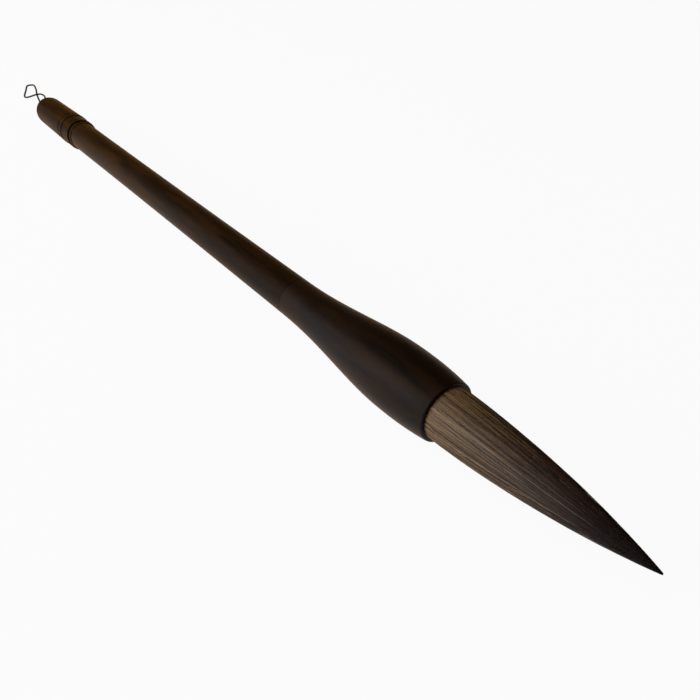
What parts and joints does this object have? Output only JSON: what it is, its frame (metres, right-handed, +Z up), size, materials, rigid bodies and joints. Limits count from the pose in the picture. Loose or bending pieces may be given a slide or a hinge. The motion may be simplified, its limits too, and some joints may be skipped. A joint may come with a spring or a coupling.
{
  "type": "calligraphy brush",
  "caption": "Large calligraphy brush with a flared dark wooden head, slim round handle, domed cap and cord loop, and a pointed tuft of brown hair.",
  "frame": {"origin": "on the table, below the middle of the brush's length without its hanging cord", "axes": "+X along the handle towards the hair's point, +Z up; the brush lies on the belly of its head and on the ring before its cap, so its own axis leans half a degree"},
  "size_m": [0.363, 0.0191, 0.0156],
  "materials": {
    "handle_wood": "satin dark lacquer",
    "head_wood": "satin dark lacquer",
    "cap_wood": "satin dark lacquer",
    "ring_wood": "satin dark lacquer",
    "cover_hair": "combed natural hair",
    "core_hair": "combed natural hair",
    "binding_thread": "waxed thread",
    "rosin": "melted rosin",
    "glue": "set glue",
    "cord": "twisted cord"
  },
  "bodies": {
    "handle": {"shaft": "handle_wood", "bell": "head_wood", "cap": "cap_wood", "front_ring": "ring_wood", "collar": "cap_wood", "rear_ring": "ring_wood", "cover_hair_root": "cover_hair", "core_hair_root": "core_hair", "root_binding": "binding_thread", "root_resin": "rosin", "socket_glue": "glue", "cord_knot": "cord", "cord_neck": "cord"},
    "tuft": {"cover_hair_tip": "cover_hair", "core_hair_tip": "core_hair"},
    "loop": {"hanging_cord": "cord"}
  },
  "joints": [
    {"name": "tuft_bend", "type": "hinge", "parent": "handle", "child": "tuft", "pos_m": [0.1086, 0, 0.00798], "axis": [0, 0, 1], "range_deg": [-35, 35], "stiffness_Nm_per_rad": 0.01},
    {"name": "loop_swing", "type": "hinge", "parent": "handle", "child": "loop", "pos_m": [-0.15129, 0, 0.00568], "axis": [0, 0, 1], "range_deg": [-75, 75]}
  ]
}
